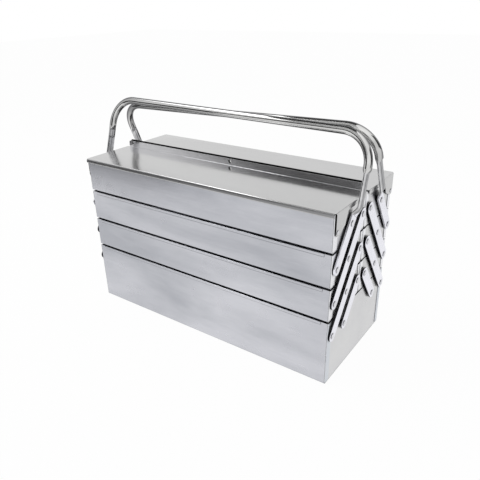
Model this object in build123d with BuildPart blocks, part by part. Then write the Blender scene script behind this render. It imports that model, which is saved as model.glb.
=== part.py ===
from build123d import *
import math
import os

os.makedirs("parts", exist_ok=True)

# Cantilever tool box, closed. +Z up, +X along the length, -Y is the front.
# The origin is the middle of the underside. All lengths are millimetres.

# ---------------------------------------------------------------- driving dimensions
LENGTH = 530.0  # outside length of the base and of every tray
DEPTH = 224.0  # outside depth of the base
BASE_HEIGHT = 120.6  # floor to the first tray level
TRAY_PITCH = 60.0  # from one tray level to the next
LID_TOP = 306.0  # upper face of the lids
LEVEL_GAP = 3.0  # daylight between a rim and the tray above it
CENTRE_GAP = 3.0  # daylight between the front and the rear trays

SHEET = 0.8  # sheet thickness of pans, end plates and lids
BEND = 1.5  # bend radius on the sheet's middle line
HEM_PROUD = 0.8  # the folded rim stands this far out of the outer wall
HEM_HEIGHT = 4.5  # height of the folded rim
WRAP_OUTER = 12.0  # corner flange of the outer wall, folded round the end
WRAP_INNER = 8.0  # corner flange of the inner wall
WRAP_RELIEF = 3.0  # open corner left below each corner flange
END_CORNER = 9.0  # rounded upper corner of a tray's end plate

PIVOT_STEP = 43.5  # distance between neighbouring pivots on a tray
PIVOT_INNER = 15.0  # inner pivot, from the middle plane
PIVOT_HEIGHT = 27.6  # pivots stand this far below the upper level of their tray
LINK_WIDTH = 20.0
LINK_THICKNESS = 2.0
LINK_EDGE = 0.3  # broken edge of the bar
LINK_FACE = 266.5  # inner face of links and handle plates
RIVET_SHANK = 5.0
RIVET_HEAD = 9.6
RIVET_CROWN = 1.7
RIVET_TAIL = 8.0
TAIL_THICKNESS = 1.4
RUNNING_FIT = 0.08  # radial clearance of a link on the rivet that it turns on
OPEN_FIT = 0.3  # radial clearance where a link only passes over a rivet
SEAT_FIT = 0.02  # radial clearance of a rivet in the sheet that it is closed on
AXIAL_FIT = 0.1  # end float of a link under its rivet head
SPACER_OUTER = 10.0  # ring between the end wall and a link

LID_OVERHANG = 3.0  # the lid stands this far out of the tray's outer wall
LID_LIP = 7.5  # height of the lid's folded edges
LID_SHEET = 0.8
LID_BEND = 1.2  # bend radius of the lid's outer edge
LID_SEAT = 1.4  # air between the top tray's rim and the closed lid, which dips as it turns
LID_CLEAR = 1.7  # air between the tray's end and the lid's cheek
CHEEK_SET_BACK = 1.2  # the cheek stands this far in from the box's front corner
EAR_BELOW = 6.2  # the hinge ear reaches this far below the hinge
EAR_FLAT = 7.5  # and its lower edge this far inward of the hinge
EAR_SHOULDER = (80.5, 278.5)  # its sloping inner edge starts here
EAR_TOP_Y = 72.0  # and meets the narrow strip here
EAR_CORNER = 5.0
CHEEK_INNER_Y = 6.0  # inner end of the cheek
FLANGE_TOP = 320.0  # upper edge of the turned-up flange along the middle
FLANGE_MIDDLE = 2.6  # middle line of that flange, from the middle plane
FLANGE_END_GAP = 6.0  # the flange stops short of the lid's ends
FLANGE_BEND = 0.8
FLANGE_CORNER = 4.0
LOCK_HOLE = 7.0  # padlock hole through both flanges
LOCK_HOLE_HEIGHT = 313.0
HINGE_Y = 104.6  # lid hinge, from the middle plane
HINGE_Z = 275.0
HINGE_SHANK = 4.0
HINGE_HEAD = 7.6
HINGE_CROWN = 1.2

TUBE = 13.5  # outside diameter of the handle tube
PLATE_WIDTH = 19.0  # the tube pressed flat
PLATE_THICKNESS = 3.0
LEG_FACE = 277.0  # half the distance between the middle planes of the handle's upper legs
LEG_SHIFT = 3.0  # both legs' feet are bent this far to the left
JOGGLE_START = 12.0  # along the link line, past the upper pivot
JOGGLE_LENGTH = 16.0
GRIP_Y = 7.4  # handle grip, from the middle plane
FRONT_GRIP_Z = (404.0, 398.6)  # its height at the left and the right bend
REAR_GRIP_Z = (389.6, 403.4)  # the rear grip hangs lower at its left end
FRONT_LEAN = (1.0, 2.5)  # the legs lean this much further to the left towards the grip
REAR_LEAN = (4.5, 6.5)
GRIP_CORNER = 50.0  # bend radius at the grip's ends
CRIMP_LENGTH = 11.0  # the flat leg swells into the tube over this length
CRIMP_GAP = 2.0  # straight tube between the crimp and the bend

# ---------------------------------------------------------------- derived dimensions
HALF_LENGTH = LENGTH / 2
HALF_DEPTH = DEPTH / 2
PLATE_FACE = HALF_LENGTH - SHEET  # outer face of the end plates
PLATE_BACK = PLATE_FACE - SHEET  # inner face of the end plates
LINK_OUT = LINK_FACE + LINK_THICKNESS
HANDLE_OUT = LINK_FACE + PLATE_THICKNESS
LEVELS = [BASE_HEIGHT + TRAY_PITCH * step for step in range(3)]
RIM_TOPS = [level - LEVEL_GAP / 2 for level in LEVELS]
TRAY_RIMS = RIM_TOPS[1:] + [LID_TOP - LID_SHEET - LID_SEAT]
TRAY_NAMES = ["lower", "middle", "top"]

PIVOT_MID = PIVOT_INNER + PIVOT_STEP
PIVOT_OUTER = PIVOT_MID + PIVOT_STEP
PIVOT_Z = [BASE_HEIGHT - PIVOT_HEIGHT + TRAY_PITCH * step for step in range(4)]
LINK_ANGLE = math.degrees(math.atan2(PIVOT_STEP, TRAY_PITCH))
ENDS = ["right", "left"]


# ---------------------------------------------------------------- pans and end plates
def folded_pan(outer_walls, y_first, y_last, z_bottom, z_top, wrap_first, wrap_last):
    """A sheet folded into a trough, with corner flanges folded round both ends."""
    walls = [(y_first, 1, wrap_first), (y_last, -1, wrap_last)]
    with BuildPart() as pan:
        with BuildSketch(Plane.YZ):
            with BuildLine():
                FilletPolyline(
                    (y_first + SHEET / 2, z_top),
                    (y_first + SHEET / 2, z_bottom + SHEET / 2),
                    (y_last - SHEET / 2, z_bottom + SHEET / 2),
                    (y_last - SHEET / 2, z_top),
                    radius=BEND,
                )
            trace(line_width=SHEET)
        extrude(amount=PLATE_FACE, both=True)
        for y_wall, inward, wrap in walls:
            proud = inward * HEM_PROUD if y_wall in outer_walls else -inward * HEM_PROUD
            hem_face = y_wall if y_wall in outer_walls else y_wall + inward * SHEET
            with BuildSketch(Plane.YZ):
                with Locations((hem_face - proud / 2, z_top - HEM_HEIGHT / 2)):
                    Rectangle(HEM_PROUD, HEM_HEIGHT)
            extrude(amount=PLATE_BACK - WRAP_OUTER, both=True)
            with BuildSketch(Plane.YZ.offset(PLATE_FACE)):
                with Locations((y_wall + inward * wrap / 2, (z_top + z_bottom + WRAP_RELIEF) / 2)):
                    Rectangle(wrap, z_top - z_bottom - WRAP_RELIEF)
            extrude(amount=SHEET)
            with BuildSketch(Plane.YZ.offset(-HALF_LENGTH)):
                with Locations((y_wall + inward * wrap / 2, (z_top + z_bottom + WRAP_RELIEF) / 2)):
                    Rectangle(wrap, z_top - z_bottom - WRAP_RELIEF)
            extrude(amount=SHEET)
    return pan.part


def round_corners(part):
    """Rolls the four upright outer corners of a pan over a small radius."""
    with BuildPart() as rolled:
        add(part)
        uprights = rolled.edges().filter_by(Axis.Z)
        longest = uprights.filter_by(lambda edge: edge.length > 3 * WRAP_OUTER)
        outermost = longest.group_by(Axis.X)
        corner_edges = []
        for side in (outermost[0], outermost[-1]):
            corner_edges.append(side.sort_by(Axis.Y)[0])
            corner_edges.append(side.sort_by(Axis.Y)[-1])
        fillet(corner_edges, radius=BEND / 2)
    return rolled.part


def drilled(part, pivots, diameter, x_from, x_to):
    """Drills the pivot holes through both ends of a piece."""
    with BuildPart() as holed:
        add(part)
        for end in (1, -1):
            with BuildSketch(Plane.YZ.offset(min(end * x_from, end * x_to))):
                with Locations(*pivots):
                    Circle(diameter / 2)
            extrude(amount=abs(x_to - x_from), mode=Mode.SUBTRACT)
    return holed.part


def end_plate(y_first, y_last, z_bottom, z_top, pivots, shanks, corner, side):
    """A flat end plate that stands inside the pan, behind its corner flanges."""
    plane = PLATE_BACK if side == "right" else -PLATE_FACE
    with BuildPart() as plate:
        with BuildSketch(Plane.YZ.offset(plane)) as outline:
            with Locations(((y_first + y_last) / 2, (z_bottom + z_top) / 2)):
                Rectangle(y_last - y_first, z_top - z_bottom)
            fillet(outline.vertices().group_by(Axis.Y)[0], radius=2 * BEND)
            if corner:
                inner = outline.vertices().group_by(Axis.Y)[-1].sort_by(Axis.X)[-1]
                fillet(inner, radius=corner)
            for pivot, shank in zip(pivots, shanks):
                with Locations(pivot):
                    Circle(shank / 2 + SEAT_FIT, mode=Mode.SUBTRACT)
        extrude(amount=SHEET)
    return plate.part


# ---------------------------------------------------------------- rivets and spacers
def rivet(shank, head, crown, tail, x_tail, x_head):
    """A rivet along X: a flat tail inside the wall and a domed head outside."""
    dome_foot = crown / 3
    dome_rise = crown - dome_foot
    dome_radius = ((head / 2) ** 2 + dome_rise**2) / (2 * dome_rise)
    dome_sag = dome_radius - math.sqrt(dome_radius**2 - (head / 4) ** 2)
    with BuildPart() as body:
        with BuildSketch(Plane.XZ):
            with BuildLine():
                Polyline(
                    (x_head + crown, 0),
                    (x_tail, 0),
                    (x_tail, tail / 2),
                    (x_tail + TAIL_THICKNESS, tail / 2),
                    (x_tail + TAIL_THICKNESS, shank / 2),
                    (x_head, shank / 2),
                    (x_head, head / 2),
                    (x_head + dome_foot, head / 2),
                )
                ThreePointArc(
                    (x_head + dome_foot, head / 2),
                    (x_head + crown - dome_sag, head / 4),
                    (x_head + crown, 0),
                )
            make_face()
        revolve(axis=Axis.X)
    return body.part


def both_ends(piece, places):
    """Sets a small part at each place on the right end and mirrors the lot to the left."""
    with BuildPart() as group:
        with Locations(*[(0, y, z) for y, z in places]):
            add(piece)
        mirror(about=Plane.YZ)
    return group.part


def spacer(outer, shank, x_from, x_to):
    """The ring on a rivet that holds the next piece clear of the wall behind it."""
    with BuildPart() as ring:
        with BuildSketch(Plane.YZ.offset(x_from)):
            Circle(outer / 2)
            Circle(shank / 2 + SEAT_FIT, mode=Mode.SUBTRACT)
        extrude(amount=x_to - x_from)
    return ring.part


TAIL_X = PLATE_BACK - TAIL_THICKNESS
link_rivet = rivet(RIVET_SHANK, RIVET_HEAD, RIVET_CROWN, RIVET_TAIL, TAIL_X, LINK_OUT + AXIAL_FIT)
handle_rivet = rivet(
    RIVET_SHANK, RIVET_HEAD, RIVET_CROWN, RIVET_TAIL, TAIL_X, HANDLE_OUT + AXIAL_FIT
)
CHEEK_FACE = HALF_LENGTH + LID_CLEAR  # inner face of the lid's cheeks
CHEEK_OUT = CHEEK_FACE + LID_SHEET
hinge_rivet = rivet(
    HINGE_SHANK, HINGE_HEAD, HINGE_CROWN, HINGE_HEAD, TAIL_X, CHEEK_OUT + AXIAL_FIT
)
wall_spacer = spacer(SPACER_OUTER, RIVET_SHANK, PLATE_FACE, LINK_FACE - AXIAL_FIT)
flange_spacer = spacer(SPACER_OUTER, RIVET_SHANK, HALF_LENGTH, LINK_FACE - AXIAL_FIT)
hinge_spacer = spacer(HINGE_HEAD, HINGE_SHANK, HALF_LENGTH, CHEEK_FACE - AXIAL_FIT)

# ---------------------------------------------------------------- base
base_pivots_mid = [(-PIVOT_MID, PIVOT_Z[0]), (PIVOT_MID, PIVOT_Z[0])]
base_pivots_outer = [(-PIVOT_OUTER, PIVOT_Z[0]), (PIVOT_OUTER, PIVOT_Z[0])]

raw_base = folded_pan(
    [-HALF_DEPTH, HALF_DEPTH],
    -HALF_DEPTH,
    HALF_DEPTH,
    0,
    RIM_TOPS[0],
    WRAP_OUTER,
    WRAP_OUTER,
)
with BuildPart() as base_pan:
    add(
        drilled(
            round_corners(raw_base),
            base_pivots_outer,
            RIVET_SHANK + 2 * SEAT_FIT,
            PLATE_FACE,
            HALF_LENGTH,
        )
    )
base_pan.part.label = "base_pan"
export_step(base_pan.part, "parts/base_pan.step")

for side in ENDS:
    with BuildPart() as base_end:
        add(
            end_plate(
                -HALF_DEPTH + SHEET,
                HALF_DEPTH - SHEET,
                SHEET,
                RIM_TOPS[0],
                base_pivots_mid + base_pivots_outer,
                [RIVET_SHANK] * 4,
                0,
                side,
            )
        )
    base_end.part.label = f"base_end_{side}"
    export_step(base_end.part, f"parts/base_end_{side}.step")

with BuildPart() as base_rivets:
    add(both_ends(link_rivet, base_pivots_mid + base_pivots_outer))
base_rivets.part.label = "base_rivets"
export_step(base_rivets.part, "parts/base_rivets.step")

with BuildPart() as base_spacers:
    add(both_ends(wall_spacer, base_pivots_mid))
    add(both_ends(flange_spacer, base_pivots_outer))
base_spacers.part.label = "base_spacers"
export_step(base_spacers.part, "parts/base_spacers.step")


# ---------------------------------------------------------------- links
def link(pivots, fits, side):
    """A flat bar with round ends, drilled for its pivots; it lies along the link angle."""
    plane = LINK_FACE if side == "right" else -LINK_OUT
    first, last = pivots[0], pivots[-1]
    middle = ((first[0] + last[0]) / 2, (first[1] + last[1]) / 2)
    span = math.hypot(last[0] - first[0], last[1] - first[1])
    with BuildPart() as bar:
        with BuildSketch(Plane.YZ.offset(plane)):
            with Locations(middle):
                SlotCenterToCenter(span, LINK_WIDTH, rotation=90 - LINK_ANGLE)
            for pivot, fit in zip(pivots, fits):
                with Locations(pivot):
                    Circle(RIVET_SHANK / 2 + fit, mode=Mode.SUBTRACT)
        extrude(amount=LINK_THICKNESS)
        faces = bar.faces().filter_by(Axis.X)
        rims = [face.outer_wire().edges() for face in faces]
        chamfer(rims[0] + rims[1], length=LINK_EDGE)
    return bar.part


short_pivots = [(-PIVOT_MID, PIVOT_Z[0]), (-PIVOT_INNER, PIVOT_Z[1])]
long_pivots = [(-PIVOT_OUTER, PIVOT_Z[0]), (-PIVOT_MID, PIVOT_Z[1]), (-PIVOT_INNER, PIVOT_Z[2])]
upper_pivots = [(-PIVOT_OUTER, PIVOT_Z[1]), (-PIVOT_MID, PIVOT_Z[2]), (-PIVOT_INNER, PIVOT_Z[3])]
LINKS = [
    ("short_link", short_pivots, [RUNNING_FIT, RUNNING_FIT]),
    ("long_link", long_pivots, [RUNNING_FIT, OPEN_FIT, RUNNING_FIT]),
    ("upper_link", upper_pivots, [RUNNING_FIT, OPEN_FIT, RUNNING_FIT]),
]
for name, pivots, fits in LINKS:
    for side in ENDS:
        with BuildPart() as front_link:
            add(link(pivots, fits, side))
        front_link.part.label = f"front_{name}_{side}"
        export_step(front_link.part, f"parts/front_{name}_{side}.step")
        with BuildPart() as rear_link:
            mirror(front_link.part, about=Plane.XZ)
        rear_link.part.label = f"rear_{name}_{side}"
        export_step(rear_link.part, f"parts/rear_{name}_{side}.step")


# ---------------------------------------------------------------- trays
def save_pair(front, name):
    """Writes a front piece and its mirror image at the rear."""
    with BuildPart() as front_piece:
        add(front)
    front_piece.part.label = f"front_{name}"
    export_step(front_piece.part, f"parts/front_{name}.step")
    with BuildPart() as rear_piece:
        mirror(front, about=Plane.XZ)
    rear_piece.part.label = f"rear_{name}"
    export_step(rear_piece.part, f"parts/rear_{name}.step")


INNER_WALL = -CENTRE_GAP / 2
for row, name in enumerate(TRAY_NAMES):
    z_bottom = LEVELS[row] + LEVEL_GAP / 2
    z_top = TRAY_RIMS[row]
    z_pivot = PIVOT_Z[row + 1]
    inner_pivot = (-PIVOT_INNER, z_pivot)
    mid_pivot = (-PIVOT_MID, z_pivot)
    outer_pivot = (-PIVOT_OUTER, z_pivot)
    outer_shank = RIVET_SHANK
    if name == "top":
        outer_pivot = (-HINGE_Y, HINGE_Z)
        outer_shank = HINGE_SHANK

    raw_pan = folded_pan(
        [-HALF_DEPTH],
        -HALF_DEPTH,
        INNER_WALL,
        z_bottom,
        z_top,
        WRAP_OUTER,
        WRAP_INNER,
    )
    pan = drilled(
        round_corners(raw_pan),
        [outer_pivot],
        outer_shank + 2 * SEAT_FIT,
        PLATE_FACE,
        HALF_LENGTH,
    )
    save_pair(pan, f"{name}_tray_pan")

    for side in ENDS:
        plate = end_plate(
            -HALF_DEPTH + SHEET,
            INNER_WALL - SHEET,
            z_bottom + SHEET,
            z_top,
            [inner_pivot, mid_pivot, outer_pivot],
            [RIVET_SHANK, RIVET_SHANK, outer_shank],
            END_CORNER,
            side,
        )
        save_pair(plate, f"{name}_tray_end_{side}")

    if name == "lower":
        rivets = both_ends(link_rivet, [inner_pivot, mid_pivot, outer_pivot])
        rings = both_ends(wall_spacer, [inner_pivot, mid_pivot]) + both_ends(
            flange_spacer, [outer_pivot]
        )
    elif name == "middle":
        rivets = both_ends(link_rivet, [inner_pivot, mid_pivot]) + both_ends(
            handle_rivet, [outer_pivot]
        )
        rings = both_ends(wall_spacer, [inner_pivot, mid_pivot]) + both_ends(
            flange_spacer, [outer_pivot]
        )
    else:
        rivets = both_ends(link_rivet, [inner_pivot]) + both_ends(handle_rivet, [mid_pivot])
        rings = both_ends(wall_spacer, [inner_pivot, mid_pivot]) + both_ends(
            hinge_spacer, [outer_pivot]
        )
    save_pair(rivets, f"{name}_tray_rivets")
    save_pair(rings, f"{name}_tray_spacers")

save_pair(both_ends(hinge_rivet, [(-HINGE_Y, HINGE_Z)]), "lid_hinge_rivets")

# ---------------------------------------------------------------- lids
LID_EDGE = HALF_DEPTH + LID_OVERHANG
with BuildPart() as lid:
    # Top sheet with the lip along its outer edge and the flange along its inner edge.
    with BuildSketch(Plane.YZ):
        with BuildLine():
            FilletPolyline(
                (-LID_EDGE + LID_SHEET / 2, LID_TOP - LID_LIP),
                (-LID_EDGE + LID_SHEET / 2, LID_TOP - LID_SHEET / 2),
                (-FLANGE_MIDDLE - LID_SHEET, LID_TOP - LID_SHEET / 2),
                radius=LID_BEND,
            )
        trace(line_width=LID_SHEET)
    extrude(amount=CHEEK_OUT, both=True)
    with BuildSketch(Plane.YZ):
        with BuildLine():
            FilletPolyline(
                (-FLANGE_MIDDLE - 2 * LID_SHEET, LID_TOP - LID_SHEET / 2),
                (-FLANGE_MIDDLE, LID_TOP - LID_SHEET / 2),
                (-FLANGE_MIDDLE, FLANGE_TOP),
                radius=FLANGE_BEND,
            )
        trace(line_width=LID_SHEET)
    extrude(amount=CHEEK_OUT - FLANGE_END_GAP, both=True)
    # Cheeks: a narrow strip along each end that widens into the hinge ear.
    for plane in (CHEEK_FACE, -CHEEK_OUT):
        with BuildSketch(Plane.YZ.offset(plane)) as cheek:
            with BuildLine():
                Polyline(
                    (-HALF_DEPTH + CHEEK_SET_BACK, LID_TOP - LID_SHEET / 2),
                    (-HALF_DEPTH + CHEEK_SET_BACK, HINGE_Z - EAR_BELOW),
                    (-HINGE_Y + EAR_FLAT, HINGE_Z - EAR_BELOW),
                    (-EAR_SHOULDER[0], EAR_SHOULDER[1]),
                    (-EAR_TOP_Y, LID_TOP - LID_LIP),
                    (-CHEEK_INNER_Y, LID_TOP - LID_LIP),
                    (-CHEEK_INNER_Y, LID_TOP - LID_SHEET / 2),
                    close=True,
                )
            make_face()
            low = cheek.vertices().group_by(Axis.Y)[0]
            fillet(low, radius=EAR_CORNER)
            with Locations((-HINGE_Y, HINGE_Z)):
                Circle(HINGE_SHANK / 2 + RUNNING_FIT, mode=Mode.SUBTRACT)
        extrude(amount=LID_SHEET)
    # Padlock hole through the flange.
    with BuildSketch(Plane.XZ.offset(FLANGE_MIDDLE - LID_SHEET)):
        with Locations((0, LOCK_HOLE_HEIGHT)):
            Circle(LOCK_HOLE / 2)
    extrude(amount=2 * LID_SHEET, mode=Mode.SUBTRACT)
    # The flange's upper corners are nipped off round.
    flange_tips = (
        lid.edges().filter_by(Axis.Y).group_by(Axis.Z)[-1].sort_by(Axis.X)
    )
    fillet([flange_tips[0], flange_tips[-1]], radius=FLANGE_CORNER)
save_pair(lid.part, "lid")


# ---------------------------------------------------------------- handles
def handle(grip_z, lean):
    """One bent tube with both legs pressed flat and joggled out past the top tray.

    grip_z and lean are pairs, for the left and the right leg.
    """
    link_dir = Vector(0, math.sin(math.radians(LINK_ANGLE)), math.cos(math.radians(LINK_ANGLE)))
    upper = Vector(0, -PIVOT_MID, PIVOT_Z[3])
    knee = upper + link_dir * JOGGLE_START
    leg_start = upper + link_dir * (JOGGLE_START + JOGGLE_LENGTH / 2)
    rise = Vector(0, -GRIP_Y - leg_start.Y, max(grip_z) - leg_start.Z).normalized()
    leg_plane = Plane(origin=leg_start, x_dir=(1, 0, 0), z_dir=Vector(1, 0, 0).cross(rise))
    # In the legs' plane: X along the grip, Y up the slope of the legs.
    feet, corners = {}, {}
    for end, height, further in zip((-1, 1), grip_z, lean):
        foot_x = end * LEG_FACE - LEG_SHIFT
        feet[end] = Vector(foot_x, JOGGLE_LENGTH / 2)
        corners[end] = Vector(foot_x - further, (height - leg_start.Z) / rise.Z)
    ways = {end: (corners[end] - feet[end]).normalized() for end in (1, -1)}
    grip_way = corners[-1] - corners[1]
    crimp_end = {}
    for end in (1, -1):
        turn = math.radians(ways[end].get_angle(grip_way * end))
        bend_reach = GRIP_CORNER * math.tan(turn / 2)
        crimp_end[end] = (corners[end] - feet[end]).length - bend_reach - CRIMP_GAP

    def across_leg(end, reach):
        """A plane square to one leg, at a distance along it from the joggle's end."""
        way = ways[end]
        return Plane(
            origin=leg_plane.from_local_coords(feet[end] + way * reach),
            x_dir=leg_plane.x_dir * way.Y - leg_plane.y_dir * way.X,
            z_dir=leg_plane.x_dir * way.X + leg_plane.y_dir * way.Y,
        )

    with BuildPart() as tube:
        for end in (1, -1):
            plane_x = LINK_FACE if end == 1 else -HANDLE_OUT
            # Flat plate over the two lower pivots.
            lower = Vector(0, -PIVOT_OUTER, PIVOT_Z[2])
            centre = (knee + lower) / 2
            with BuildSketch(Plane.YZ.offset(plane_x)):
                with Locations((centre.Y, centre.Z)):
                    Rectangle(PLATE_WIDTH, (knee - lower).length, rotation=-LINK_ANGLE)
                with Locations((lower.Y, lower.Z)):
                    Circle(PLATE_WIDTH / 2)
                    Circle(RIVET_SHANK / 2 + RUNNING_FIT, mode=Mode.SUBTRACT)
                with Locations((upper.Y, upper.Z)):
                    Circle(RIVET_SHANK / 2 + OPEN_FIT, mode=Mode.SUBTRACT)
            extrude(amount=PLATE_THICKNESS)
            # Joggle: the plate steps outward and turns up into the leg.
            knee_x = end * (LINK_FACE + PLATE_THICKNESS / 2)
            with BuildSketch(Plane(origin=(knee_x, knee.Y, knee.Z), x_dir=(1, 0, 0), z_dir=link_dir)):
                Rectangle(PLATE_THICKNESS, PLATE_WIDTH)
            with BuildSketch(across_leg(end, 0)):
                Rectangle(PLATE_THICKNESS, PLATE_WIDTH)
            loft(ruled=True)
            # Flat leg.
            flat_end = crimp_end[end] - CRIMP_LENGTH
            with BuildSketch(across_leg(end, 0)):
                Rectangle(PLATE_THICKNESS, PLATE_WIDTH)
            extrude(amount=flat_end)
            # Crimp: the flat swells into the round tube.
            with BuildSketch(across_leg(end, flat_end)):
                RectangleRounded(PLATE_THICKNESS, PLATE_WIDTH, radius=PLATE_THICKNESS * 0.45)
            with BuildSketch(across_leg(end, crimp_end[end])):
                Circle(TUBE / 2)
            loft()
        # Round tube over the top, bent at both ends.
        with BuildLine(leg_plane) as route:
            turns = [
                feet[1] + ways[1] * crimp_end[1],
                corners[1],
                corners[-1],
                feet[-1] + ways[-1] * crimp_end[-1],
            ]
            FilletPolyline([(turn.X, turn.Y) for turn in turns], radius=GRIP_CORNER)
        with BuildSketch(across_leg(1, crimp_end[1])):
            Circle(TUBE / 2)
        sweep(path=route.line)
    return tube.part


with BuildPart() as front_handle:
    add(handle(FRONT_GRIP_Z, FRONT_LEAN))
front_handle.part.label = "front_handle"
export_step(front_handle.part, "parts/front_handle.step")

with BuildPart() as rear_handle:
    mirror(handle(REAR_GRIP_Z, REAR_LEAN), about=Plane.XZ)
rear_handle.part.label = "rear_handle"
export_step(rear_handle.part, "parts/rear_handle.step")
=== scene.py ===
# %% [markdown]
# # A cantilever tool box in sheet steel
# The object is a steel tool box, closed. Two stacks of three trays sit on one deep base, and
# slanted links at both ends swing each stack outward in steps. Two lids hinge on the top trays,
# and two bent tubes make the grips. The CAD model fixes every size and every joint. This script
# only gives the box its looks: finer meshes for the folded sheet, the tubes, the links and the
# rivets, and a metal finish for each of them. Everything is in metres, in the CAD model's frame:
# +X runs along the box, +Z is up and the front faces -Y.

# %% Load the CAD model as a fixed frame
import math

import bmesh
import bpy
from mathutils import Matrix, Vector


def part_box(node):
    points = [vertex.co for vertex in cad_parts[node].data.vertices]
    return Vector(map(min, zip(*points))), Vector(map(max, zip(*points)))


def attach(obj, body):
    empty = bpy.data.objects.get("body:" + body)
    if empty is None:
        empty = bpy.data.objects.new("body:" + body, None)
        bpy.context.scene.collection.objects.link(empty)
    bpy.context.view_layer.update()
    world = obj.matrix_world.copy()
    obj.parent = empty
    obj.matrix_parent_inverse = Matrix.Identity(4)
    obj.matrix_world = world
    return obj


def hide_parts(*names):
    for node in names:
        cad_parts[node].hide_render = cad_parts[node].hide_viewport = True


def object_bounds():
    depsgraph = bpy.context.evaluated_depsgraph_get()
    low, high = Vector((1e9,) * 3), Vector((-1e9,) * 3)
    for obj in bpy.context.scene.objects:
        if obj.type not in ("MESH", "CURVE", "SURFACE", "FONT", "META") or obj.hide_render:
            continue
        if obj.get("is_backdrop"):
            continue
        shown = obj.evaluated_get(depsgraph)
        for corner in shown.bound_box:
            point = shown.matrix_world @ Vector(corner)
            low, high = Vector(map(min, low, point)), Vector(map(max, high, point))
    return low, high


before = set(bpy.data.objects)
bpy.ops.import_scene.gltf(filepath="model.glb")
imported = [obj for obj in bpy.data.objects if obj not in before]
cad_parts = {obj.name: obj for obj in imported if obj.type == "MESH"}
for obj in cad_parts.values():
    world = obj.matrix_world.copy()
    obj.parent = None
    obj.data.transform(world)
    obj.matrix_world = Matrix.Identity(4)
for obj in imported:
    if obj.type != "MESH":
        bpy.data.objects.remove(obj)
cad_low, cad_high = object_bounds()
MM = 0.001
print("the box measures", [round(side / MM, 1) for side in cad_high - cad_low], "mm")

# %% [markdown]
# ## The camera
# The picture to match was taken from the right, in front of the box and above it. The camera's
# place, turn and lens were solved from the box's own corners, so they are plain numbers here.

# %% Camera
CAMERA_PLACE = (0.545575, -0.727104, 0.583741)
CAMERA_TURN = (1.12751332, 0.0226178521, 0.617909325)


def add_object(name, data, place=(0, 0, 0)):
    """Puts new data into the scene as an object."""
    made = bpy.data.objects.new(name, data)
    made.location = place
    bpy.context.scene.collection.objects.link(made)
    return made


camera_data = bpy.data.cameras.new("camera")
camera_data.sensor_width = 36
camera_data.lens = 38.31
camera = add_object("camera", camera_data, CAMERA_PLACE)
camera.rotation_euler = CAMERA_TURN
bpy.context.scene.camera = camera
bpy.context.scene.view_settings.view_transform = "Standard"
print("the camera stands", round(camera.location.length, 3), "m from the box's origin")

# %% [markdown]
# ## Node groups: the effects that every finish shares
# Zinc-plated sheet is never one flat grey. It has soft clouds from the plating bath, fine lines
# from the rolling mill, slow waves from folding, finger marks, and edges that wear has made
# bright, which also carry a painted highlight. Gaps get a painted shade. Each effect is one node
# group with named sockets. A material places the group and gives it values of its own, so one
# effect can be coarse on the wide walls and fine on a narrow link.

# %% Helpers for node groups
COLOUR, VALUE = "NodeSocketColor", "NodeSocketFloat"


def fill(node, inputs):
    """Fills a node's inputs: another node's socket is wired in, a plain value is set."""
    for socket, value in inputs.items():
        if isinstance(value, bpy.types.NodeSocket):
            node.id_data.links.new(value, node.inputs[socket])
        else:
            node.inputs[socket].default_value = value


def add_node(tree, kind, options=None, inputs=None):
    """Adds a shader node, sets its options and fills its inputs."""
    node = tree.nodes.new("ShaderNode" + kind)
    for option, value in (options or {}).items():
        setattr(node, option, value)
    fill(node, inputs or {})
    return node


def new_group(name, inputs):
    """Starts a node group with named inputs and gives its tree and the sockets to take from."""
    tree = bpy.data.node_groups.new(name, "ShaderNodeTree")
    for socket, value in inputs.items():
        kind = COLOUR if isinstance(value, tuple) else VALUE
        made = tree.interface.new_socket(socket, in_out="INPUT", socket_type=kind)
        made.default_value = value
    return tree, tree.nodes.new("NodeGroupInput").outputs


def end_group(tree, outputs):
    """Gives the group its named outputs and wires them."""
    for socket in outputs:
        kind = COLOUR if socket == "Colour" else VALUE
        tree.interface.new_socket(socket, in_out="OUTPUT", socket_type=kind)
    fill(tree.nodes.new("NodeGroupOutput"), outputs)
    print("group:", tree.name, "puts out", " and ".join(outputs))
    return tree


print("sockets in the groups are colours and values")


# %% Helpers for the nodes used most
def stretched_place(tree, stretch=(1, 1, 1)):
    """The place on the piece, scaled by a vector, so that a pattern can run in lines."""
    place = add_node(tree, "TexCoord").outputs["Object"]
    return add_node(tree, "Mapping", inputs={"Vector": place, "Scale": stretch}).outputs["Vector"]


def noise(tree, place, scale, detail, roughness=0.5, distortion=0.0, output="Fac"):
    """Soft random values round 0.5; a larger scale packs them closer."""
    grain = {"Detail": detail, "Roughness": roughness, "Distortion": distortion}
    inputs = {"Vector": place, "Scale": scale, **grain}
    return add_node(tree, "TexNoise", inputs=inputs).outputs[output]


def maths(tree, operation, *values, clamp=False):
    """One step of arithmetic on values or sockets."""
    options = {"operation": operation, "use_clamp": clamp}
    return add_node(tree, "Math", options, dict(enumerate(values))).outputs[0]


def ranged(tree, value, low, high, to_low=0.0, to_high=1.0):
    """Stretches the span from low to high over 0 to 1, or over another span."""
    limits = {"From Min": low, "From Max": high, "To Min": to_low, "To Max": to_high}
    return add_node(tree, "MapRange", inputs={"Value": value, **limits}).outputs["Result"]


def mixed(tree, factor, first, second, blend="MIX"):
    """Mixes a second colour into a first one."""
    options = {"data_type": "RGBA", "blend_type": blend}
    return add_node(tree, "Mix", options, {0: factor, 6: first, 7: second}).outputs[2]


print("the nodes used most have a helper each")

# %% [markdown]
# ### Clouds
# The clouds are slow noise that mixes a darker and a lighter tone of the same metal. A second,
# finer noise breaks up their outlines. The mask goes out too, so that roughness can follow it.

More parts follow.
